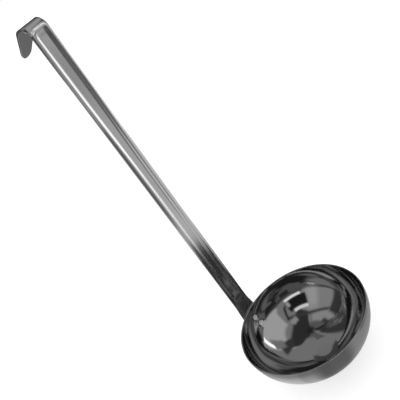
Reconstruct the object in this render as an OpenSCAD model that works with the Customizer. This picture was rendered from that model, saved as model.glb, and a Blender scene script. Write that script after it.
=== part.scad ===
// Soup ladle: a drawn steel bowl with a pressed strip handle spot-welded to its wall.
// The bowl rests on its flat bottom at the origin. The handle stands at the -X side and its hook opens to -X.

/* [Bowl] */
// Outside diameter of the rim
bowl_d = 104; // [80:1:120]
// Height from the flat bottom to the rim
bowl_depth = 44; // [40:1:55]
// Radius of the side's curve below the rim, on the outside
bowl_side_r = 38; // [30:1:39]
// Thickness of the bowl's sheet
bowl_wall = 1; // [0.6:0.1:1.6]
// How far the round bottom is pressed flat
base_press = 0.8; // [0.4:0.1:1.5]

/* [Handle] */
// Length from the rim to the start of the hook's bend
shank_len = 266; // [150:1:400]
// Width of the strip
strip_w = 15.2; // [14:0.2:24]
// Thickness of the strip
strip_t = 1.5; // [1:0.1:2.5]
// Lean of the handle over the bowl, in degrees
handle_lean = 1.9; // [0:0.1:5]

/* [Pressed channel] */
// Width of the channel at the front face
channel_w = 8; // [6:0.2:10]
// Depth of the channel
channel_depth = 1; // [0.6:0.1:1.4]
// Width of each sloping side of the channel
channel_slope = 1; // [0.6:0.1:2]
// Length over which each end of the channel runs out
channel_fade = 10; // [4:1:20]
// Flat length of strip between the rim and the channel
channel_foot = 16; // [12:1:40]
// Flat length of strip between the channel and the hook's bend
channel_top = 1; // [0:0.5:20]

/* [Hook] */
// Inside radius of the hook's bend
hook_r = 6.2; // [3:0.2:9]
// Angle that the strip is bent through, in degrees
hook_angle = 129; // [110:1:150]
// Length of the tongue from the bend to its tip
tongue_len = 23.6; // [16:0.2:34]
// Radius of the tongue's round tip
tongue_tip_r = 4.5; // [3:0.1:6.5]

/* [Weld tab] */
// Width of the tab on the bowl wall
tab_w = 17; // [14:0.2:26]
// Height of the tab below the rim
tab_drop = 23; // [20:0.5:26]
// Height above the rim over which the strip widens to the tab
tab_flare = 9; // [4:1:11]

/* [Spot welds] */
// Radius of a weld slug
weld_r = 2.4; // [1.5:0.1:3]
// Distance of the upper weld from the rim, along the wall
weld_upper_at = 9.5; // [7:0.5:10]
// Distance of the lower weld from the rim, along the wall
weld_lower_at = 16.8; // [16.5:0.1:19]
// How far each end of a slug is sunk below the sheet
weld_dimple = 0.12; // [0.05:0.01:0.2]
// Gap around a slug
weld_clear = 0.02; // [0.01:0.01:0.05]

/* [Hidden] */
$fn = 96;

rim_r = bowl_d / 2;
drawn_depth = bowl_depth + base_press;
side_x = rim_r - bowl_side_r;
base_r = (side_x * side_x + drawn_depth * drawn_depth - bowl_side_r * bowl_side_r)
    / (2 * (drawn_depth - bowl_side_r));
base_z = base_r - drawn_depth;
weld_stack = bowl_wall + strip_t;
tab_end_r = tab_w / 2;
channel_len = shank_len - channel_foot - channel_top;
bend_x = -strip_t - hook_r;
// The channel's back face keeps the sheet's thickness round each crease
side_slant = atan2(channel_depth, channel_slope);
end_slant = atan2(channel_depth, channel_fade);
rib_grow_side = strip_t * tan(side_slant / 2);
rib_grow_end = strip_t * tan(end_slant / 2);
// How far cutting shapes pass the faces that they cut
pass = 1;
// How far the stretches of the strip run into each other
lap = 0.3;
// How far the tongue's faces lie inside those of the bend that it grows from
tuck = 0.01;

// Filled half profile below the rim, grown outwards: a side arc that runs into a flatter base arc
module bowl_fill(grow) {
    far = 2 * base_r;
    far_step = far / (base_r - bowl_side_r);
    intersection() {
        translate([0, -bowl_depth - grow]) square([bowl_d, bowl_depth + grow]);
        union() {
            translate([side_x, 0]) circle(r = bowl_side_r + grow);
            intersection() {
                translate([0, base_z]) circle(r = base_r + grow);
                polygon([
                    [0, base_z],
                    [0, base_z - far],
                    [side_x * far_step, base_z - base_z * far_step]
                ]);
            }
        }
    }
}

// Ring of the bowl's shape between two grown profiles
module bowl_shell(inner_grow, outer_grow) {
    translate([0, 0, bowl_depth])
        rotate_extrude()
            difference() {
                bowl_fill(outer_grow);
                bowl_fill(inner_grow);
            }
}

// Puts its children on the wall under the handle, with +X square out of the wall
module at_wall(distance) {
    translate([0, 0, bowl_depth])
        rotate([0, 0, 180])
            translate([side_x, 0, 0])
                rotate([0, distance / bowl_side_r * 180 / PI, 0])
                    children();
}

// Round bar square through the wall, from the bowl's inside to the tab's outside
module wall_bar(distance, radius, lengthen) {
    at_wall(distance)
        translate([bowl_side_r - bowl_wall - lengthen, 0, 0])
            rotate([0, 90, 0])
                cylinder(r = radius, h = weld_stack + 2 * lengthen);
}

module weld_holes() {
    wall_bar(weld_upper_at, weld_r + weld_clear, pass);
    wall_bar(weld_lower_at, weld_r + weld_clear, pass);
}

// Turns an outline drawn in Y and Z into a plate between two X places
module plate(x_back, x_front) {
    translate([x_back, 0, 0])
        rotate([90, 0, 90])
            linear_extrude(height = x_front - x_back)
                children();
}

// Puts its children on the leaning handle, whose front face meets the rim at the local origin
module on_handle() {
    translate([-rim_r, 0, bowl_depth])
        rotate([0, handle_lean, 0])
            children();
}

// Long trough shape under the plane at x_top, with sloping sides and ends
module channel_form(x_top, grow_side, grow_end) {
    half = channel_w / 2 + grow_side;
    low = channel_foot - grow_end;
    high = channel_foot + channel_len + grow_end;
    side_run = channel_slope / channel_depth;
    end_run = channel_fade / channel_depth;
    intersection() {
        translate([x_top, 0, low])
            linear_extrude(height = high - low)
                polygon([
                    [pass, -half - pass * side_run],
                    [pass, half + pass * side_run],
                    [-channel_depth, half - channel_slope],
                    [-channel_depth, channel_slope - half]
                ]);
        translate([x_top, half + pass * side_run, 0])
            rotate([90, 0, 0])
                linear_extrude(height = 2 * (half + pass * side_run))
                    polygon([
                        [pass, low - pass * end_run],
                        [pass, high + pass * end_run],
                        [-channel_depth, high - channel_fade],
                        [-channel_depth, low + channel_fade]
                    ]);
    }
}

module shank() {
    difference() {
        union() {
            plate(-strip_t, 0)
                polygon([
                    [-tab_w / 2, -lap],
                    [tab_w / 2, -lap],
                    [strip_w / 2, tab_flare],
                    [strip_w / 2, shank_len],
                    [-strip_w / 2, shank_len],
                    [-strip_w / 2, tab_flare]
                ]);
            intersection() {
                channel_form(-strip_t, rib_grow_side, rib_grow_end);
                plate(-strip_t - channel_depth, 0)
                    translate([-strip_w / 2, 0])
                        square([strip_w, shank_len]);
            }
        }
        channel_form(0, 0, 0);
    }
}

module hook_bend() {
    translate([bend_x, 0, shank_len])
        rotate([90, 0, 0])
            rotate_extrude(angle = hook_angle)
                translate([hook_r, -strip_w / 2])
                    square([strip_t, strip_w]);
}

// Tongue that narrows on both sides to a round tip, with its sides tangent to the tip
module tongue() {
    half = strip_w / 2 - tuck;
    tip_at = tongue_len - tongue_tip_r;
    run = tip_at + lap;
    side_lean = atan2(half, run) - asin(tongue_tip_r / norm([half, run]));
    touch = [tongue_tip_r * cos(side_lean), tip_at + tongue_tip_r * sin(side_lean)];
    translate([bend_x, 0, shank_len])
        rotate([0, -hook_angle, 0])
            plate(hook_r + tuck, hook_r + strip_t - tuck)
                union() {
                    polygon([
                        [-half, -lap],
                        [half, -lap],
                        touch,
                        [-touch[0], touch[1]]
                    ]);
                    translate([0, tip_at]) circle(r = tongue_tip_r);
                }
}

// Foot of the strip, pressed to the bowl's outside
module weld_tab() {
    intersection() {
        bowl_shell(0, strip_t);
        translate([0, 0, bowl_depth])
            plate(-bowl_d, 0)
                union() {
                    translate([-tab_w / 2, tab_end_r - tab_drop])
                        square([tab_w, tab_drop]);
                    translate([0, tab_end_r - tab_drop])
                        circle(r = tab_end_r);
                }
    }
}

module bowl() {
    color("silver")
        difference() {
            bowl_shell(-bowl_wall, 0);
            weld_holes();
        }
}

module handle() {
    color("darkgray")
        difference() {
            union() {
                on_handle() {
                    shank();
                    hook_bend();
                    tongue();
                }
                weld_tab();
            }
            weld_holes();
        }
}

module spot_weld(distance) {
    color("gray")
        wall_bar(distance, weld_r, -weld_dimple);
}

module spot_weld_upper() {
    spot_weld(weld_upper_at);
}

module spot_weld_lower() {
    spot_weld(weld_lower_at);
}

bowl();
handle();
spot_weld_upper();
spot_weld_lower();
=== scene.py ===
import bmesh
import bpy
import math
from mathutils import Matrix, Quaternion, Vector


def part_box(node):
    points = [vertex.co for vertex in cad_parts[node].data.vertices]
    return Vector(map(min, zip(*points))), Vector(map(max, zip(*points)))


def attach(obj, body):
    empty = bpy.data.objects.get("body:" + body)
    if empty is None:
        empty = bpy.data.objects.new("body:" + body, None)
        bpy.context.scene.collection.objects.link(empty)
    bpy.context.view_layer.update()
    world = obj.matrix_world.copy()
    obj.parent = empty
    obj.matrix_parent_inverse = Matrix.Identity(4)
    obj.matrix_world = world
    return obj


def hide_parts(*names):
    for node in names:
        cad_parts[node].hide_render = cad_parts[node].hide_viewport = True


# A soup ladle of polished stainless steel: a drawn bowl, a pressed strip handle and two spot welds.
# Blender works in metres here. Sizes in the dictionaries are millimetres and angles are degrees.
mm = 0.001

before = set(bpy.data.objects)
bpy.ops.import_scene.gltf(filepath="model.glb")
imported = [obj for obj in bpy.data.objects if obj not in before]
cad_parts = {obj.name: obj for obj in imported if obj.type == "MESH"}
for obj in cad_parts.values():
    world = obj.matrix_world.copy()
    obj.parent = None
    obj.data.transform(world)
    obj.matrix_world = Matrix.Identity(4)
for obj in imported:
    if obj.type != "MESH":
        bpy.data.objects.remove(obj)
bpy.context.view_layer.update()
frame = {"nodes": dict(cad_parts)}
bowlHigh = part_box("bowl")[1]
print("frame loaded:", ", ".join(frame["nodes"]))

# The axes that the section and the hook are bent about, and that the bowl is spun about
sideways = (0, 1, 0)
upright = (0, 0, 1)


# Helpers for editing

def makeActive(piece):
    bpy.ops.object.select_all(action="DESELECT")
    piece.select_set(True)
    bpy.context.view_layer.objects.active = piece


def startEditing(piece):
    makeActive(piece)
    bpy.ops.object.mode_set(mode="EDIT")


def stopEditing():
    bpy.ops.object.mode_set(mode="OBJECT")


def pick(piece, kind, test):
    # selects the vertices, edges or faces that pass the test, and nothing else
    bpy.ops.mesh.select_mode(type=kind)
    bpy.ops.mesh.select_all(action="DESELECT")
    mesh = bmesh.from_edit_mesh(piece.data)
    for part in {"VERT": mesh.verts, "EDGE": mesh.edges, "FACE": mesh.faces}[kind]:
        if test(part):
            part.select_set(True)
    mesh.select_flush_mode()
    bmesh.update_edit_mesh(piece.data)


def newPiece(name):
    # names the primitive that was just added
    piece = bpy.context.object
    piece.name = name
    piece.data.name = name
    return piece


def applyModifier(piece, kind, **settings):
    makeActive(piece)
    modifier = piece.modifiers.new(kind.title(), kind)
    for name, value in settings.items():
        setattr(modifier, name, value)
    bpy.ops.object.modifier_apply(modifier=modifier.name)


def extrudeBy(step):
    bpy.ops.mesh.extrude_region_move(TRANSFORM_OT_translate={"value": tuple(step)})


def spinBy(turn, steps, centre, axis):
    bpy.ops.mesh.spin(steps=steps, angle=math.radians(turn), center=tuple(centre), axis=axis)


def scaleAcross(ratio):
    bpy.ops.transform.resize(value=(1, ratio, 1), center_override=(0, 0, 0))


def smoothStep(low, high, value):
    # 0 up to low, 1 from high on, and a smooth rise between them
    share = min(1, max(0, (value - low) / (high - low)))
    return share * share * (3 - 2 * share)


def evenly(low, high, steps):
    # the ends of equal steps from low to high, both included
    return [low + (high - low) * step / steps for step in range(steps + 1)]


# Sizes that the pieces share
ladle = {
    "rimRadius": bowlHigh.x / mm,
    "bowlDepth": bowlHigh.z / mm,
    "sideRadius": 38,  # the wall's outside curve under the rim
    "bottomPress": 0.8,  # how far the round bottom is pressed flat
    "wall": 1.0,
    "weldAt": (9.5, 16.8),  # along the wall from the rim
    "weldRadius": 2.4,
    "weldClear": 0.02,
    "weldSides": 64,
    "drillDepth": 12,
    "craterRadius": 3.7,
    "craterDepth": 0.16,
    "craterReach": 0.4,  # how far off its face a point may lie and still be pressed with it
    "smoothAngle": 32,  # edges that turn less than this are shaded smooth
}
sideX = ladle["rimRadius"] - ladle["sideRadius"]
drawnDepth = ladle["bowlDepth"] + ladle["bottomPress"]
depthPastSide = drawnDepth - ladle["sideRadius"]
baseRadius = (sideX ** 2 + drawnDepth ** 2 - ladle["sideRadius"] ** 2) / (2 * depthPastSide)
baseZ = baseRadius - ladle["bottomPress"]
sideCentre = Vector((sideX, 0, ladle["bowlDepth"])) * mm  # of the wall's curve where the section is drawn
tabCentre = Vector((-sideX, 0, ladle["bowlDepth"])) * mm  # of the wall's curve under the handle


def weldAxis(distance):
    # a point on the bowl's outside in the middle of a weld, and the direction out of the wall there
    turn = distance / ladle["sideRadius"]
    outward = Vector((-math.cos(turn), 0, -math.sin(turn)))
    return tabCentre + outward * ladle["sideRadius"] * mm, outward


def fromAxis(point, distance):
    # how far a point lies from the middle line of the weld at that distance from the rim
    place, outward = weldAxis(distance)
    offset = point - place
    return (offset - outward * offset.dot(outward)).length


def sinkCraters(piece, height, away):
    # presses a shallow round seat into one face of the sheet round each weld
    for distance in ladle["weldAt"]:
        place, outward = weldAxis(distance)
        for vertex in piece.data.vertices:
            beside = fromAxis(vertex.co, distance) / mm
            offFace = abs((vertex.co - place).dot(outward) / mm - height)
            if beside < ladle["craterRadius"] and offFace < ladle["craterReach"]:
                share = 1 - smoothStep(ladle["weldRadius"], ladle["craterRadius"], beside)
                vertex.co -= outward * away * ladle["craterDepth"] * share * mm


def drillWelds(piece):
    # the hole that each slug fills
    for distance in ladle["weldAt"]:
        place, outward = weldAxis(distance)
        bpy.ops.mesh.primitive_cylinder_add(
            vertices=ladle["weldSides"],
            radius=(ladle["weldRadius"] + ladle["weldClear"]) * mm,
            depth=ladle["drillDepth"] * mm,
            location=place,
            rotation=outward.to_track_quat("Z", "Y").to_euler(),
        )
        drill = newPiece("drill")
        applyModifier(piece, "BOOLEAN", operation="DIFFERENCE", solver="EXACT", object=drill)
        bpy.data.objects.remove(drill)


def smoothPiece(piece):
    makeActive(piece)
    bpy.ops.object.shade_smooth_by_angle(angle=math.radians(ladle["smoothAngle"]))


# Bowl: half its section drawn from one point by extrusions and spins, then spun round the upright axis
bowl = {
    "sideSteps": 28,
    "baseSteps": 22,
    "roundSteps": 256,
    "edgeBevel": 0.32,
    "edgeSegments": 4,
    "bottomBevel": 3.4,
    "bottomSegments": 8,
    "patchRadius": 5.5,  # round each weld, where the mesh is made finer
    "patchCuts": 3,
    "mergeWithin": 0.002,
    "ringSlack": 0.02,  # how far an edge may lie off its ring
}


def onRing(edge, radius, height):
    # true if both ends of the edge lie on a level ring round the bowl's axis
    slack = bowl["ringSlack"]
    return all(abs(v.co.xy.length / mm - radius) < slack and abs(v.co.z / mm - height) < slack
               for v in edge.verts)


def bevelRings(piece, rings, width, segments):
    # rounds the sharp edges that lie on the rings
    pick(piece, "EDGE", lambda edge: any(onRing(edge, *ring) for ring in rings))
    bpy.ops.mesh.bevel(offset=width * mm, segments=segments, affect="EDGES")


def byWeld(face):
    # true for a face of the patch round a weld
    centre = face.calc_center_median()
    return centre.x < 0 and any(fromAxis(centre, at) / mm < bowl["patchRadius"] for at in ladle["weldAt"])


def makeBowl():
    # each face of the sheet is flat at the bottom, then an arc about centreHigh, then one about sideCentre
    tangentTurn = math.degrees(math.atan2(sideX, baseZ - ladle["bowlDepth"]))
    centreHigh = Vector((0, 0, baseZ)) * mm
    outerFlat = math.sqrt(baseRadius ** 2 - baseZ ** 2)
    innerBase = baseRadius - ladle["wall"]
    innerFlat = math.sqrt(innerBase ** 2 - (baseZ - ladle["wall"]) ** 2)
    outerTurn = tangentTurn - math.degrees(math.asin(outerFlat / baseRadius))
    innerTurn = tangentTurn - math.degrees(math.asin(innerFlat / innerBase))
    sideTurn = 90 - tangentTurn
    bpy.ops.mesh.primitive_plane_add(size=mm)
    piece = newPiece("drawnBowl")
    startEditing(piece)
    bpy.ops.mesh.merge(type="CENTER")
    extrudeBy((outerFlat * mm, 0, 0))
    spinBy(outerTurn, bowl["baseSteps"], centreHigh, sideways)
    spinBy(sideTurn, bowl["sideSteps"], sideCentre, sideways)
    extrudeBy((-ladle["wall"] * mm, 0, 0))
    spinBy(-sideTurn, bowl["sideSteps"], sideCentre, sideways)
    spinBy(-innerTurn, bowl["baseSteps"], centreHigh, sideways)
    extrudeBy((-innerFlat * mm, 0, 0))
    bpy.ops.mesh.select_all(action="SELECT")
    spinBy(360, bowl["roundSteps"], (0, 0, 0), upright)
    bpy.ops.mesh.select_all(action="SELECT")
    bpy.ops.mesh.remove_doubles(threshold=bowl["mergeWithin"] * mm)
    bpy.ops.mesh.normals_make_consistent(inside=False)
    innerRim = ladle["rimRadius"] - ladle["wall"]
    rim = [(ladle["rimRadius"], ladle["bowlDepth"]), (innerRim, ladle["bowlDepth"])]
    bevelRings(piece, rim, bowl["edgeBevel"], bowl["edgeSegments"])
    flat = [(outerFlat, 0), (innerFlat, ladle["wall"])]
    bevelRings(piece, flat, bowl["bottomBevel"], bowl["bottomSegments"])
    pick(piece, "FACE", byWeld)
    bpy.ops.mesh.subdivide(number_cuts=bowl["patchCuts"])
    stopEditing()
    sinkCraters(piece, -ladle["wall"], -1)
    drillWelds(piece)
    smoothPiece(piece)
    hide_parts("bowl")
    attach(piece, "root")
    return piece


# Handle: a strip drawn out row by row, bent to a hook, pressed to the bowl and then given its thickness
strip = {
    "width": 15.7,
    "thickness": 1.5,
    "lean": 1.9,
    "length": 266,  # from the rim to the hook's bend
    "flare": 9,  # height above the rim over which the strip widens to the tab
    "tabWidth": 17,
    "tabDrop": 23,
    "settle": 12,  # height above the rim over which the flat strip takes the bowl's roundness
    "gap": 0.03,  # between the tab and the bowl
    "roll": 0.5,  # how far the long edges are rolled back
    "rollWidth": 3.4,
    "channelWidth": 8.6,
    "channelDepth": 1.0,
    "channelSlope": 2.0,
    "channelFoot": 16,
    "channelFade": 11,
    "channelReach": 0.16,  # share of the bend's length at which the channel ends
    "channelEnd": 5,  # how far before there it starts to run out
    "channelPast": 2,  # how far past there it is gone
    "rollPast": 9,  # how far past there the rolled edges are gone
    "channelSpread": 1.33,  # how much wider the channel is near the hook
    "spreadFrom": 150,
    "spreadTo": 225,
    "spreadBeside": 0.5,  # from this far beside the channel the spread lessens
    "spreadEdge": 0.6,  # and it is gone this far inside the strip's edge
    "hookRadius": 6.2,
    "hookTurn": 129,
    "bendTurns": (0, 162),  # about the bend's centre, wide enough to hold all of the bend
    "tongueTurns": (90, 252),  # and all of the tongue
    "tongueLength": 23.6,
    "tongueTip": 4.5,
    "edgeCrease": 0.6,
    "mapBelow": 34.5,  # length of the UV map below the rim
    "columns": (1.2, 2.1, 2.5, 3.3, 4.1, 4.5, 5.5, 6.3, 6.9, 7.4),  # of the mesh, on each side
    "footRows": (1, 3, 5, 7, 9, 11, 13, 15),
    "fadeSteps": 8,
    "shankRows": (40, 60, 85, 110, 135, 160, 185, 205, 222),
    "topLength": 34,  # below the bend, with topSteps even rows
    "topSteps": 20,
    "hookSteps": 30,
    "tongueSteps": 6,
    "tipSteps": 7,
    "tipTurn": 86,  # of the round tip, just short of its end
    "tabSteps": 10,
    "tabEndSteps": 8,
    "tabEndTurn": 84,
    "rowSlack": 0.01,  # how far a point may lie off its row
    "smoothLevels": 2,
}
lean = math.radians(strip["lean"])
handleUp = Vector((math.sin(lean), 0, math.cos(lean)))
handleFront = Vector((math.cos(lean), 0, -math.sin(lean)))
rimPoint = Vector((-ladle["rimRadius"], 0, ladle["bowlDepth"])) * mm
bendRadius = strip["hookRadius"] + strip["thickness"]
bendCentre = rimPoint + handleUp * strip["length"] * mm - handleFront * bendRadius * mm
hookTurn = math.radians(strip["hookTurn"])
tongueWay = handleUp * math.cos(hookTurn) - handleFront * math.sin(hookTurn)
tongueFront = handleFront * math.cos(hookTurn) + handleUp * math.sin(hookTurn)
bendLength = hookTurn * bendRadius
mapLength = strip["length"] + bendLength + strip["tongueLength"] + 2 * strip["tabDrop"]


def turnWithin(turn, limits):
    return math.radians(limits[0]) < turn < math.radians(limits[1])


def alongStrip(point):
    # length along the strip's front from the rim, in millimetres, and the direction its front faces there
    raised = (point - rimPoint).dot(handleUp) / mm
    offset = (point - bendCentre) / mm
    turn = math.atan2(offset.dot(handleUp), offset.dot(handleFront)) % math.tau
    past = offset.dot(tongueWay)
    if raised < 0:  # on the tab, measured down the wall
        down = math.atan2(sideCentre.z - point.z, -sideX * mm - point.x)
        return -down * ladle["sideRadius"], Vector((math.cos(down), 0, math.sin(down)))
    if past > 0 and turnWithin(turn, strip["tongueTurns"]):  # on the tongue
        return strip["length"] + bendLength + past, tongueFront
    if raised > strip["length"] and turnWithin(turn, strip["bendTurns"]):  # in the bend
        front = handleFront * math.cos(turn) + handleUp * math.sin(turn)
        return strip["length"] + turn * bendRadius, front
    return raised, handleFront


def stripHeights():
    # heights of the rows from the rim to the bend, closer where the channel starts and ends
    foot = strip["channelFoot"]
    top = strip["length"]
    return [
        *strip["footRows"],
        *evenly(foot, foot + strip["channelFade"], strip["fadeSteps"]),
        *strip["shankRows"],
        *evenly(top - strip["topLength"], top, strip["topSteps"]),
    ]


def drawStrip():
    # a line across the rim is drawn up into a flat strip and round the bend, and the last row stays selected
    bpy.ops.mesh.primitive_plane_add(size=mm)
    piece = newPiece("pressedStrip")
    startEditing(piece)
    bpy.ops.transform.rotate(value=math.pi / 2, orient_axis="Y", center_override=(0, 0, 0))
    scaleAcross(strip["width"])
    pick(piece, "VERT", lambda v: v.co.z > 0)
    bpy.ops.mesh.delete(type="VERT")
    bpy.ops.mesh.select_all(action="SELECT")
    bpy.ops.transform.translate(value=rimPoint + Vector((0, 0, mm / 2)))
    heights = stripHeights()
    extrudeBy(handleUp * heights[0] * mm)
    for place in [0] + [side * column for column in strip["columns"] for side in (-1, 1)]:
        bpy.ops.mesh.select_all(action="SELECT")
        bpy.ops.mesh.bisect(plane_co=(0, place * mm, 0), plane_no=sideways)
    pick(piece, "VERT", lambda v: v.co.z > rimPoint.z + heights[0] / 2 * mm)
    for low, high in zip(heights, heights[1:]):
        extrudeBy(handleUp * (high - low) * mm)
    spinBy(strip["hookTurn"], strip["hookSteps"], bendCentre, sideways)
    return piece


def tongueRows():
    # the row that ends the bend is drawn out to the tip, narrower row by row
    half = strip["width"] / 2
    tip = strip["tongueTip"]
    tipAt = strip["tongueLength"] - tip
    sideLean = math.atan2(half, tipAt) - math.asin(tip / math.hypot(half, tipAt))
    touchAt = tipAt + tip * math.sin(sideLean)
    touchHalf = tip * math.cos(sideLean)
    steps = strip["tongueSteps"]
    rows = list(zip(evenly(0, touchAt, steps), evenly(half, touchHalf, steps)))
    for turn in evenly(sideLean, math.radians(strip["tipTurn"]), strip["tipSteps"])[1:]:
        rows.append((tipAt + tip * math.sin(turn), tip * math.cos(turn)))
    for (low, wide), (high, narrow) in zip(rows, rows[1:]):
        extrudeBy(tongueWay * (high - low) * mm)
        scaleAcross(narrow / wide)


def tabRows(piece):
    # the row at the rim is drawn down along the wall, to a round end
    half = strip["tabWidth"] / 2
    roundAt = strip["tabDrop"] - half
    radius = ladle["sideRadius"]
    straight = evenly(0, math.degrees(math.asin(roundAt / radius)), strip["tabSteps"])
    rows = [(0, strip["width"] / 2)] + [(turn, half) for turn in straight[1:]]
    for turn in evenly(0, math.radians(strip["tabEndTurn"]), strip["tabEndSteps"])[1:]:
        down = math.asin((roundAt + half * math.sin(turn)) / radius)
        rows.append((math.degrees(down), half * math.cos(turn)))
    pick(piece, "VERT", lambda v: v.co.z < rimPoint.z + strip["rowSlack"] * mm)
    for (low, wide), (high, narrow) in zip(rows, rows[1:]):
        spinBy(high - low, 1, tabCentre, sideways)
        scaleAcross(narrow / wide)


def flareFoot(piece):
    # the strip widens to the tab as it comes down to the rim
    wider = strip["tabWidth"] / strip["width"] - 1
    for vertex in piece.data.vertices:
        along = alongStrip(vertex.co)[0]
        if -strip["rowSlack"] < along < strip["flare"]:
            vertex.co.y *= 1 + wider * (1 - smoothStep(0, strip["flare"], along))


def layPolishLines(piece):
    # a UV map that follows the strip for the polishing lines: across in U from its middle, and along in V
    layer = piece.data.uv_layers.new(name="strip")
    for loop in piece.data.loops:
        place = piece.data.vertices[loop.vertex_index].co
        along = alongStrip(place)[0]
        across = 0.5 + place.y / mm / mapLength
        layer.data[loop.index].uv = (across, (along + strip["mapBelow"]) / mapLength)


def pressChannel(piece):
    # sinks the channel and rolls the long edges back, until both run out early in the bend
    half = strip["channelWidth"] / 2
    foot = strip["channelFoot"]
    top = strip["length"] + strip["channelReach"] * bendLength
    gone = top + strip["channelPast"]
    rollFrom = strip["width"] / 2 - strip["rollWidth"]
    for vertex in piece.data.vertices:
        along, front = alongStrip(vertex.co)
        across = abs(vertex.co.y) / mm
        inBend = smoothStep(gone, top + strip["rollPast"], along)
        sunk = smoothStep(foot, foot + strip["channelFade"], along)
        depth = sunk * (1 - smoothStep(top - strip["channelEnd"], gone, along))
        share = min(1, max(0, (half - across) / strip["channelSlope"]))
        spread = smoothStep(strip["spreadFrom"], strip["spreadTo"], along) * (1 - inBend)
        wider = 1 + (strip["channelSpread"] - 1) * spread
        beside = smoothStep(half + strip["spreadBeside"], strip["width"] / 2 - strip["spreadEdge"], across)
        rolled = strip["roll"] * smoothStep(0, foot, along) * (1 - inBend)
        edge = max(0, across - rollFrom) / strip["rollWidth"]
        vertex.co -= front * (depth * share * strip["channelDepth"] + rolled * edge ** 2) * mm
        vertex.co.y *= wider + (1 - wider) * beside


def wrapFoot(piece):
    # the strip takes the bowl's roundness as it comes down to the rim, and lies on the wall below it
    for vertex in piece.data.vertices:
        along = alongStrip(vertex.co)[0]
        across = vertex.co.y
        hug = 1 - smoothStep(0, strip["settle"], along)
        reach = -vertex.co.x if along < 0 else ladle["rimRadius"] * mm
        vertex.co.x += (reach - math.sqrt(reach ** 2 - across ** 2)) * hug - strip["gap"] * mm * hug


def faceFront(piece):
    # all faces look to the strip's front, so that its thickness goes behind them
    startEditing(piece)
    bpy.ops.mesh.select_all(action="SELECT")
    bpy.ops.mesh.normals_make_consistent(inside=False)
    stopEditing()
    halfway = rimPoint + handleUp * strip["length"] / 2 * mm
    middle = min(piece.data.polygons, key=lambda face: (face.center - halfway).length)
    if middle.normal.x < 0:
        piece.data.flip_normals()


def makeHandle():
    piece = drawStrip()
    tongueRows()
    tabRows(piece)
    stopEditing()
    flareFoot(piece)
    layPolishLines(piece)
    pressChannel(piece)
    wrapFoot(piece)
    faceFront(piece)
    crease = strip["edgeCrease"]
    applyModifier(piece, "SOLIDIFY", thickness=strip["thickness"] * mm, offset=-1, use_even_offset=True,
                  edge_crease_outer=crease, edge_crease_inner=crease)
    levels = strip["smoothLevels"]
    applyModifier(piece, "SUBSURF", levels=levels, render_levels=levels)
    sinkCraters(piece, strip["thickness"], 1)
    drillWelds(piece)
    smoothPiece(piece)
    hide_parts("handle")
    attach(piece, "root")
    return piece


# Spot welds: a slug through both sheets, with a shallow dish pressed in each end
slug = {
    "dimple": 0.12,  # how far each end is sunk below the sheet
    "bevel": 0.18,
    "bevelSegments": 3,
    "dish": ((0.5, 0.12), (0.6, 0.1), (0.6, 0.06)),  # each ring of the dish: its width and drop
    "levelSlack": 0.001,  # how much an edge may rise and still be level
    "endFacing": 0.99,  # share of a face's normal that points along the slug, if it is an end
}


def makeSlug(name, distance):
    place, outward = weldAxis(distance)
    length = ladle["wall"] + strip["thickness"] - 2 * slug["dimple"]
    middle = place + outward * (strip["thickness"] - ladle["wall"]) / 2 * mm
    bpy.ops.mesh.primitive_cylinder_add(
        vertices=ladle["weldSides"],
        radius=ladle["weldRadius"] * mm,
        depth=length * mm,
        location=(0, 0, 0),
    )
    piece = newPiece(name)
    startEditing(piece)
    pick(piece, "EDGE", lambda e: abs(e.verts[0].co.z - e.verts[1].co.z) < slug["levelSlack"] * mm)
    bpy.ops.mesh.bevel(offset=slug["bevel"] * mm, segments=slug["bevelSegments"], affect="EDGES")
    for side in (-1, 1):
        pick(piece, "FACE", lambda f: f.normal.z * side > slug["endFacing"])
        for width, drop in slug["dish"]:
            bpy.ops.mesh.inset(thickness=width * mm)
            bpy.ops.transform.translate(value=(0, 0, -side * drop * mm))
    stopEditing()
    piece.location = middle
    piece.rotation_euler = outward.to_track_quat("Z", "Y").to_euler()
    bpy.ops.object.transform_apply(location=True, rotation=True, scale=True)
    smoothPiece(piece)
    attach(piece, "root")
    return piece


# Materials

white = (1, 1, 1, 1)


def colour(hexText):
    # sRGB hex to Blender's linear colour
    parts = [int(hexText[i:i + 2], 16) / 255 for i in (1, 3, 5)]
    return [p / 12.92 if p <= 0.04045 else ((p + 0.055) / 1.055) ** 2.4 for p in parts] + [1]


def addNode(tree, kind, settings=None):
    # a key that names or numbers an input sets it, or links it to the node or socket given as its value,
    # and any other key sets a property
    node = tree.nodes.new(kind)
    for key, value in (settings or {}).items():
        if isinstance(value, bpy.types.Node):
            value = value.outputs[0]
        if isinstance(value, bpy.types.NodeSocket):
            tree.links.new(value, node.inputs[key])
        elif isinstance(key, int) or key in node.inputs:
            node.inputs[key].default_value = value
        else:
            setattr(node, key, value)
    return node


def newMaterial(name):
    material = bpy.data.materials.new(name)
    material.use_nodes = True
    material.node_tree.nodes.clear()
    return material, material.node_tree


def wear(*pieces, material):
    # gives the pieces their finish
    for piece in pieces:
        piece.data.materials.clear()
        piece.data.materials.append(material)


bowlFinish = {
    "colour": "#b0b0b1",
    "metallic": 1.0,
    "ringSpacing": 0.5,  # the wheel's rings are finer, and are drawn as coarse as they need to show
    "cloudSize": 22,  # patches that the wheel reached more or less
    "roughness": (0.045, 0.1),
    "bump": 0.05,
    "bumpDepth": 0.02,
}


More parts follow.
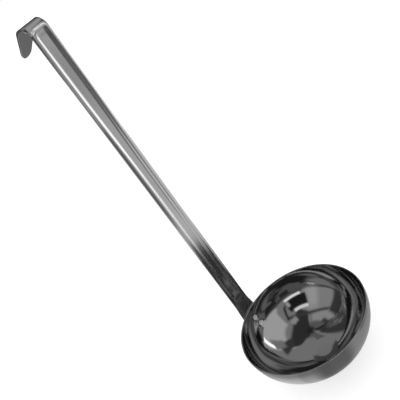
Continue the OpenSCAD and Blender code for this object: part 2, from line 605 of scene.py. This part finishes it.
def drawnSteel():
    # 18/8 stainless steel, deep drawn and buffed on a turning wheel: mirror-like, with faint rings
    material, tree = newMaterial("buffed drawn stainless steel")
    place = addNode(tree, "ShaderNodeTexCoord")
    split = addNode(tree, "ShaderNodeSeparateXYZ", {0: place.outputs["Object"]})
    flat = addNode(tree, "ShaderNodeCombineXYZ", {0: split.outputs[0], 1: split.outputs[1]})
    radius = addNode(tree, "ShaderNodeVectorMath", {"operation": "LENGTH", 0: flat})
    rings = addNode(tree, "ShaderNodeCombineXYZ", {0: radius.outputs["Value"], 1: split.outputs[2]})
    fine = addNode(tree, "ShaderNodeTexNoise", {
        "Vector": rings, "Scale": 1 / (bowlFinish["ringSpacing"] * mm), "Detail": 3, "Roughness": 0.6,
    })
    cloudy = addNode(tree, "ShaderNodeTexNoise", {
        "Vector": place.outputs["Object"], "Scale": 1 / (bowlFinish["cloudSize"] * mm), "Detail": 4,
    })
    smoothest, roughest = bowlFinish["roughness"]
    rough = addNode(tree, "ShaderNodeMapRange", {"Value": cloudy, "To Min": smoothest, "To Max": roughest})
    bump = addNode(tree, "ShaderNodeBump", {
        "Height": fine, "Strength": bowlFinish["bump"], "Distance": bowlFinish["bumpDepth"] * mm,
    })
    steel = addNode(tree, "ShaderNodeBsdfPrincipled", {
        "Base Color": colour(bowlFinish["colour"]), "Metallic": bowlFinish["metallic"],
        "Roughness": rough, "Normal": bump,
    })
    addNode(tree, "ShaderNodeOutputMaterial", {"Surface": steel})
    return material


stripFinish = {
    "colour": "#b0b0b1",
    "metallic": 1.0,
    "lineWidth": 0.35,  # the belt's lines are finer, and are drawn as coarse as they need to show
    "lineLength": 60,
    "lineRange": (0.3, 0.7),  # of the noise that the roughness follows
    "roughness": (0.1, 0.24),
    "bump": 0.06,
    "bumpDepth": 0.03,
}


def stripSteel():
    # 18/8 stainless strip, belt polished along its length: bright, drawn out into fine lengthwise lines
    material, tree = newMaterial("belt-polished stainless strip")
    place = addNode(tree, "ShaderNodeUVMap", {"uv_map": "strip"})
    mapScale = (mapLength / stripFinish["lineWidth"], mapLength / stripFinish["lineLength"], 1)
    stretched = addNode(tree, "ShaderNodeMapping", {"Vector": place, "Scale": mapScale})
    fine = addNode(tree, "ShaderNodeTexNoise", {
        "Vector": stretched, "Scale": 1, "Detail": 4, "Roughness": 0.65,
    })
    lineLow, lineHigh = stripFinish["lineRange"]
    smoothest, roughest = stripFinish["roughness"]
    rough = addNode(tree, "ShaderNodeMapRange", {
        "Value": fine, "From Min": lineLow, "From Max": lineHigh, "To Min": smoothest, "To Max": roughest,
    })
    bump = addNode(tree, "ShaderNodeBump", {
        "Height": fine, "Strength": stripFinish["bump"], "Distance": stripFinish["bumpDepth"] * mm,
    })
    steel = addNode(tree, "ShaderNodeBsdfPrincipled", {
        "Base Color": colour(stripFinish["colour"]), "Metallic": stripFinish["metallic"],
        "Roughness": rough, "Normal": bump,
    })
    addNode(tree, "ShaderNodeOutputMaterial", {"Surface": steel})
    return material


weldGlintFinish = {
    # the pale colour is partly painted highlight: it lights the welds like a glint
    "colour": "#d8d7d5",
    "metallic": 0.45,
    "grain": 0.4,  # the metal's grain is finer, and is drawn as coarse as it needs to show
    "roughness": (0.35, 0.6),
    "bump": 0.25,
    "bumpDepth": 0.03,
}


def weldSteelWithGlint():
    # remelted stainless steel, pressed by the electrode and left unpolished: a matt film over the metal, its
    # pale colour partly painted highlight that makes the welds read as bright glints
    material, tree = newMaterial("pressed weld metal with painted glint")
    place = addNode(tree, "ShaderNodeTexCoord")
    grain = addNode(tree, "ShaderNodeTexNoise", {
        "Vector": place.outputs["Object"], "Scale": 1 / (weldGlintFinish["grain"] * mm), "Detail": 4,
    })
    smoothest, roughest = weldGlintFinish["roughness"]
    rough = addNode(tree, "ShaderNodeMapRange", {"Value": grain, "To Min": smoothest, "To Max": roughest})
    bump = addNode(tree, "ShaderNodeBump", {
        "Height": grain, "Strength": weldGlintFinish["bump"], "Distance": weldGlintFinish["bumpDepth"] * mm,
    })
    steel = addNode(tree, "ShaderNodeBsdfPrincipled", {
        "Base Color": colour(weldGlintFinish["colour"]), "Metallic": weldGlintFinish["metallic"],
        "Roughness": rough, "Normal": bump,
    })
    addNode(tree, "ShaderNodeOutputMaterial", {"Surface": steel})
    return material


# Studio
studio = {
    "floorSize": 30000,
    "floorColour": "#c8c8c8",
    "floorLift": 0.62,  # how much white the floor adds for the eye and for reflections
    "airLight": 1.0,  # strength of the white world
}

# The camera stands where the photograph was taken from, turned about its own axis as the photograph is
cameraView = {
    "place": (244.5, -198.44, 331.98),
    "azimuth": 52.668,  # 0 looks along +Y
    "elevation": 26.689,
    "roll": -36.334,
    "lens": 48.58,
    "sensor": 36,
}


def addCamera():
    turn = math.radians(cameraView["azimuth"])
    tilt = math.radians(cameraView["elevation"])
    back = Vector((math.sin(turn) * math.cos(tilt), -math.cos(turn) * math.cos(tilt), math.sin(tilt)))
    level = (-back).to_track_quat("-Z", "Y")
    bpy.ops.object.camera_add(location=Vector(cameraView["place"]) * mm)
    camera = bpy.context.object
    camera.rotation_mode = "QUATERNION"
    camera.rotation_quaternion = level @ Quaternion((0, 0, 1), math.radians(cameraView["roll"]))
    camera.data.lens = cameraView["lens"]
    camera.data.sensor_width = cameraView["sensor"]
    bpy.context.scene.camera = camera


def addFloor():
    # matt white paper: it shows a soft shadow, and the lift makes the rest of it read as pure white
    bpy.ops.mesh.primitive_plane_add(size=studio["floorSize"] * mm)
    floor = newPiece("floor")
    material, tree = newMaterial("white paper sweep")
    path = addNode(tree, "ShaderNodeLightPath")
    seen = path.outputs["Is Camera Ray"]
    for other in ("Is Glossy Ray", "Is Transmission Ray"):
        seen = addNode(tree, "ShaderNodeMath", {"operation": "MAXIMUM", 0: seen, 1: path.outputs[other]})
    lift = addNode(tree, "ShaderNodeMath", {"operation": "MULTIPLY", 0: seen, 1: studio["floorLift"]})
    paper = addNode(tree, "ShaderNodeBsdfDiffuse", {"Color": colour(studio["floorColour"])})
    light = addNode(tree, "ShaderNodeEmission", {"Color": white, "Strength": lift})
    both = addNode(tree, "ShaderNodeAddShader", {0: paper, 1: light})
    addNode(tree, "ShaderNodeOutputMaterial", {"Surface": both})
    wear(floor, material=material)


def addWorld():
    world = bpy.data.worlds.new("studio air")
    bpy.context.scene.world = world
    world.use_nodes = True
    tree = world.node_tree
    tree.nodes.clear()
    air = addNode(tree, "ShaderNodeBackground", {"Color": white, "Strength": studio["airLight"]})
    addNode(tree, "ShaderNodeOutputWorld", {"Surface": air})


def area(azimuth, halfWidth, high, halfHeight, glow, soft, **more):
    # a lit or shaded area: its middle, how far it reaches each way, how bright it is and how soft its edge
    return {"azimuth": azimuth, "halfWidth": halfWidth, "high": high, "halfHeight": halfHeight,
            "glow": glow, "soft": soft, **more}


# What the steel mirrors, seen by reflections only: a cloth tent with panels and lamps, a table with painted
# shade.
# Azimuth runs from +X towards +Y, and high is the elevation. A panel's bow bends it down towards its ends,
# and its lean slants it. Each row is azimuth, half width, high, half height, glow and soft edge.
tent = {"radius": 2000, "segments": 96, "rings": 48, "cloth": 0.34}
tentPanels = {
    "skirt": area(-62, 118, 0.6, 14.8, 0.08, 5.5, bow=6.5),
    "frontShade": area(-105, 55, 11, 7.8, 0.13, 2),
    "sideCloth": area(35, 37, 31, 20, 0.7, 7, lean=0.44, bow=30),
    "leftCloth": area(-110, 27, 43, 24, 0.42, 2.5, lean=-0.6, bow=-11),
    "upperCloth": area(-115, 32, 71, 10, 0.48, 3.4, lean=-0.2, bow=30),
    "rearShade": area(-156, 28, 44, 32, 0.07, 7),
    "farCloth": area(0, 166, 92, 12, 0.18, 7, bow=-5),
    "bowShade": area(16, 77, 95, 33, 0.05, 6, lean=0.6, bow=-30),
    "bowSeam": area(-109, 55, 58, 6, 0.48, 7, lean=0.57, bow=-27),
    "crown": area(11, 179, 94, 10, 0.03, 7, lean=0.4),
    "backCloth": area(111, 26, 58, 20, 0.34, 7, bow=-29),
    "backShade": area(145, 16, 21, 24, 0.09, 3.3, bow=30),
    "sideShade": area(66, 12, 48, 11, 0.07, 6, lean=-0.6, bow=-23),
    "bowSlit": area(-65, 62, 62, 2.4, 0.08, 5, lean=0.58, bow=-30),
    "sideStrip": area(-84, 12, 34, 18, 0.62, 16),
    "arcSheen": area(-14, 12, 60, 4, 0.5, 5),
    "sideDim": area(59, 9, 36, 10, 0.32, 7),
    "nearShade": area(-22, 20, 37, 11, 0.34, 7, lean=0.18, bow=30),
    "darkCloth": area(-49, 23, 36.5, 11, 0.02, 3),
    "stroke": area(-15, 3, 42, 11, 0.04, 4, lean=0.8),
    "lampOver": area(-54, 19, 49, 2.4, 1.3, 2),
    "lampUnder": area(-46, 17, 22, 3, 1.5, 2),
    "lampBeside": area(-31, 3.5, 33, 6, 0.6, 3),
    "sideLamp": area(56, 3.6, 21, 9, 2.6, 2, lean=0.9),
    "lineLamp": area(84, 12, 4, 6, 2.4, 3),
    "frontLow": area(32, 15, 5, 7, 0.75, 3),
}

# A row's high is how far its middle lies from the bowl's axis, and its fade is the soft edge that way.
# These and its half height are millimetres.
table = {"radius": 1990, "segments": 96, "height": 0.5, "cloth": 1.0}
tableShadeAndCards = {
    # The first five rows and edgeShade are painted shade, with a paler patch, where the ladle's shadow falls
    # on the floor
    "bowlMat": area(0, 181, 50, 68, 0.43, 1, fade=30),
    "matSheen": area(-90, 32, 45, 24, 0.8, 30, fade=24),
    "matShade": area(-38, 24, 82, 48, 0.22, 20, fade=30),
    "paintedFootShadow": area(40, 30, 118, 34, 0.03, 8, fade=24),
    "footShade": area(110, 26, 170, 90, 0.05, 8, fade=40),
    "frontNear": area(32, 14, 560, 330, 0.78, 6, fade=200),
    "frontFar": area(32, 14, 1500, 650, 0.56, 6, fade=400),
    "rollCard": area(8, 19, 1150, 950, 0.2, 8, fade=60),
    "lowCard": area(-64, 20, 330, 220, 0.16, 8, fade=400),
    "hookCard": area(140, 26, 480, 300, 0.26, 10, fade=100),
    "edgeCard": area(-150, 16, 1050, 950, 0.34, 8, fade=60),
    "edgeShade": area(-150, 16, 170, 80, 0.1, 8, fade=60),
    "stripLamp": area(84, 12, 1190, 950, 2.4, 6, fade=100),
    "lineStart": area(97, 8, 240, 45, 2.1, 6, fade=50),
}

# Two small cards held near the hook: one draws the bright line across the start of its bend, and the other
# lights its top. Each faces a point on the bend at turn degrees, and only steel within its reach mirrors it.
hookCards = {
    "bendLine": {"turn": 4, "azimuth": 38, "high": 22, "away": 70, "beside": -4,
                 "width": 10, "height": 28, "glow": 1.9, "reach": 120},
    "bendTop": {"turn": 43, "azimuth": 74, "high": 57, "away": 70, "beside": 0,
                "width": 60, "height": 24, "glow": 0.62, "reach": 120},
}


def onlyMirrored(piece):
    for ray in ("camera", "diffuse", "shadow", "transmission", "volume_scatter"):
        setattr(piece, "visible_" + ray, False)


def softInside(tree, offset, half, soft):
    # 1 where the offset is well inside the half size, 0 where it is well outside
    size = addNode(tree, "ShaderNodeMath", {"operation": "ABSOLUTE", 0: offset})
    inward = addNode(tree, "ShaderNodeMath", {"operation": "SUBTRACT", 0: half, 1: size})
    return addNode(tree, "ShaderNodeMapRange", {
        "interpolation_type": "SMOOTHSTEP", "Value": inward, "From Min": -soft / 2, "From Max": soft / 2,
    })


halfTurn = 180


def bendPanel(tree, width, height, bow):
    # lowers the panel by its bow a quarter turn from its middle, and by the square of the way up to there
    side = addNode(tree, "ShaderNodeMath", {"operation": "ABSOLUTE", 0: width})
    share = addNode(tree, "ShaderNodeMath", {"operation": "DIVIDE", 0: side, 1: halfTurn / 2})
    square = addNode(tree, "ShaderNodeMath", {"operation": "POWER", 0: share, 1: 2})
    drop = addNode(tree, "ShaderNodeMath", {"operation": "MULTIPLY", 0: square, 1: bow})
    return addNode(tree, "ShaderNodeMath", {"operation": "SUBTRACT", 0: height, 1: drop})


def paintGlow(material, tree, place, high, cloth, panels):
    # lays each panel over the ones before it, with soft edges
    split = addNode(tree, "ShaderNodeSeparateXYZ", {0: place})
    across, along = split.outputs[1], split.outputs[0]
    turn = addNode(tree, "ShaderNodeMath", {"operation": "ARCTAN2", 0: across, 1: along})
    azimuth = addNode(tree, "ShaderNodeMath", {"operation": "DEGREES", 0: turn})
    glow = cloth
    for name, panel in panels.items():
        turned = addNode(tree, "ShaderNodeMath", {"operation": "SUBTRACT", 0: azimuth, 1: panel["azimuth"]})
        width = addNode(tree, "ShaderNodeMath", {"operation": "WRAP", 0: turned, 1: -halfTurn, 2: halfTurn})
        height = addNode(tree, "ShaderNodeMath", {"operation": "SUBTRACT", 0: high, 1: panel["high"]})
        if "bow" in panel:
            height = bendPanel(tree, width, height, panel["bow"])
        if "lean" in panel:
            shift = addNode(tree, "ShaderNodeMath", {"operation": "MULTIPLY", 0: height, 1: panel["lean"]})
            width = addNode(tree, "ShaderNodeMath", {"operation": "SUBTRACT", 0: width, 1: shift})
        insideWidth = softInside(tree, width, panel["halfWidth"], panel["soft"])
        insideHeight = softInside(tree, height, panel["halfHeight"], panel.get("fade", panel["soft"]))
        share = addNode(tree, "ShaderNodeMath", {"operation": "MULTIPLY", 0: insideWidth, 1: insideHeight})
        left = addNode(tree, "ShaderNodeMath", {"operation": "SUBTRACT", 0: 1, 1: share})
        rest = addNode(tree, "ShaderNodeMath", {"operation": "MULTIPLY", 0: glow, 1: left})
        laid = {"operation": "MULTIPLY_ADD", "label": name, 0: share, 1: panel["glow"], 2: rest}
        glow = addNode(tree, "ShaderNodeMath", laid)
    light = addNode(tree, "ShaderNodeEmission", {"Color": white, "Strength": glow})
    addNode(tree, "ShaderNodeOutputMaterial", {"Surface": light})
    return material


def addTent():
    # soft cloth lit from outside: broad greys with a few bright lamps
    bpy.ops.mesh.primitive_uv_sphere_add(
        segments=tent["segments"],
        ring_count=tent["rings"],
        radius=tent["radius"] * mm,
    )
    dome = newPiece("tent")
    material, tree = newMaterial("tent cloth with panels and lamps")
    place = addNode(tree, "ShaderNodeTexCoord").outputs["Object"]
    raised = addNode(tree, "ShaderNodeSeparateXYZ", {0: place}).outputs[2]
    share = addNode(tree, "ShaderNodeMath", {"operation": "DIVIDE", 0: raised, 1: tent["radius"] * mm})
    tilt = addNode(tree, "ShaderNodeMath", {"operation": "ARCSINE", 0: share})
    high = addNode(tree, "ShaderNodeMath", {"operation": "DEGREES", 0: tilt})
    wear(dome, material=paintGlow(material, tree, place, high, tent["cloth"], tentPanels))
    onlyMirrored(dome)


def addTableShadeAndCards():
    # white sheet seen only in reflections: painted shade round the foot stands in for the ladle's shadow on
    # the floor; cards and lamps lie further out
    bpy.ops.mesh.primitive_circle_add(
        vertices=table["segments"],
        radius=table["radius"] * mm,
        fill_type="NGON",
        location=(0, 0, table["height"] * mm),
    )
    sheet = newPiece("tableShadeAndCards")
    material, tree = newMaterial("table sheet with cards and painted shadow")
    place = addNode(tree, "ShaderNodeTexCoord").outputs["Object"]
    length = addNode(tree, "ShaderNodeVectorMath", {"operation": "LENGTH", 0: place})
    away = addNode(tree, "ShaderNodeMath", {"operation": "MULTIPLY", 0: length.outputs["Value"], 1: 1 / mm})
    wear(sheet, material=paintGlow(material, tree, place, away, table["cloth"], tableShadeAndCards))
    onlyMirrored(sheet)


def addHookCard(name, card):
    # a lit white card, clear beyond its reach
    turn = math.radians(card["azimuth"])
    tilt = math.radians(card["high"])
    way = Vector((math.cos(tilt) * math.cos(turn), math.cos(tilt) * math.sin(turn), math.sin(tilt)))
    bend = math.radians(card["turn"])
    front = handleFront * math.cos(bend) + handleUp * math.sin(bend)
    start = bendCentre + front * bendRadius * mm + Vector((0, card["beside"], 0)) * mm
    bpy.ops.mesh.primitive_plane_add(
        size=mm,
        location=start + way * card["away"] * mm,
        rotation=way.to_track_quat("Z", "Y").to_euler(),
    )
    piece = newPiece(name)
    bpy.ops.transform.resize(value=(card["width"], card["height"], 1), orient_type="LOCAL")
    material, tree = newMaterial("lit white card")
    length = addNode(tree, "ShaderNodeLightPath").outputs["Ray Length"]
    near = addNode(tree, "ShaderNodeMath", {"operation": "LESS_THAN", 0: length, 1: card["reach"] * mm})
    clear = addNode(tree, "ShaderNodeBsdfTransparent")
    light = addNode(tree, "ShaderNodeEmission", {"Color": white, "Strength": card["glow"]})
    both = addNode(tree, "ShaderNodeMixShader", {0: near, 1: clear, 2: light})
    addNode(tree, "ShaderNodeOutputMaterial", {"Surface": both})
    wear(piece, material=material)
    onlyMirrored(piece)


addCamera()
addFloor()
addWorld()
addTent()
addTableShadeAndCards()
for cardName, card in hookCards.items():
    addHookCard(cardName, card)
bpy.context.scene.view_settings.view_transform = "Standard"
print("studio ready")

bowlPiece = makeBowl()
print("bowl made")
handlePiece = makeHandle()
print("handle made")
upperSlug = makeSlug("upperWeld", ladle["weldAt"][0])
lowerSlug = makeSlug("lowerWeld", ladle["weldAt"][1])
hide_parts("spot_weld_upper")
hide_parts("spot_weld_lower")
print("welds made")

wear(bowlPiece, material=drawnSteel())
wear(handlePiece, material=stripSteel())
wear(upperSlug, lowerSlug, material=weldSteelWithGlint())
print("finishes laid")
